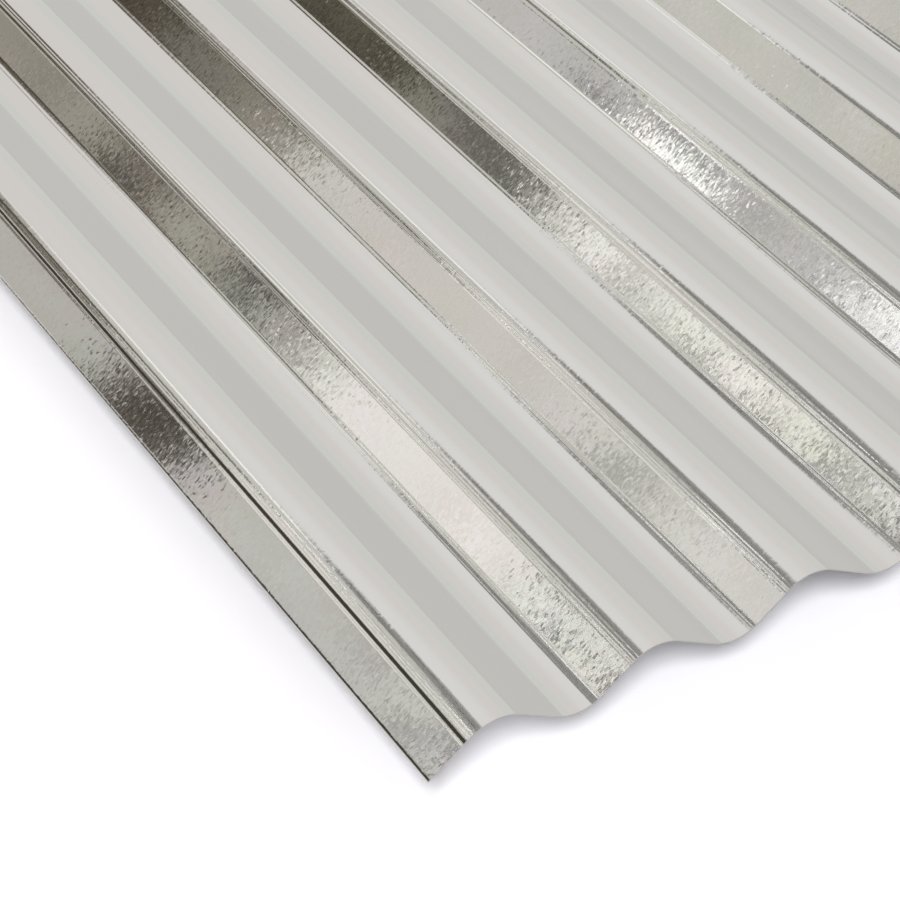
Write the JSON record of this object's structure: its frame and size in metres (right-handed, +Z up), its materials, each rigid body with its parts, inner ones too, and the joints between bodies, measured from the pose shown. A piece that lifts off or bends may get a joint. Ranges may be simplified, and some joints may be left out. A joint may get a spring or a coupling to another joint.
{
  "type": "corrugated metal sheet",
  "caption": "Thin galvanised steel sheet rolled into even round waves along its whole length, for roofs, walls and fences.",
  "frame": {"origin": "under the middle of the sheet, on the level floor that its valleys lie on", "axes": "+Y along the ridges, +X across the waves from the valley edge to the crest edge, +Z up out of the sheet"},
  "size_m": [0.6478, 1.8288, 0.017],
  "materials": {
    "galvanised_steel": "bright zinc coating, smooth and mirror-like with a fine grain"
  },
  "bodies": {
    "root": {"corrugated_sheet": "galvanised_steel"}
  },
  "joints": []
}
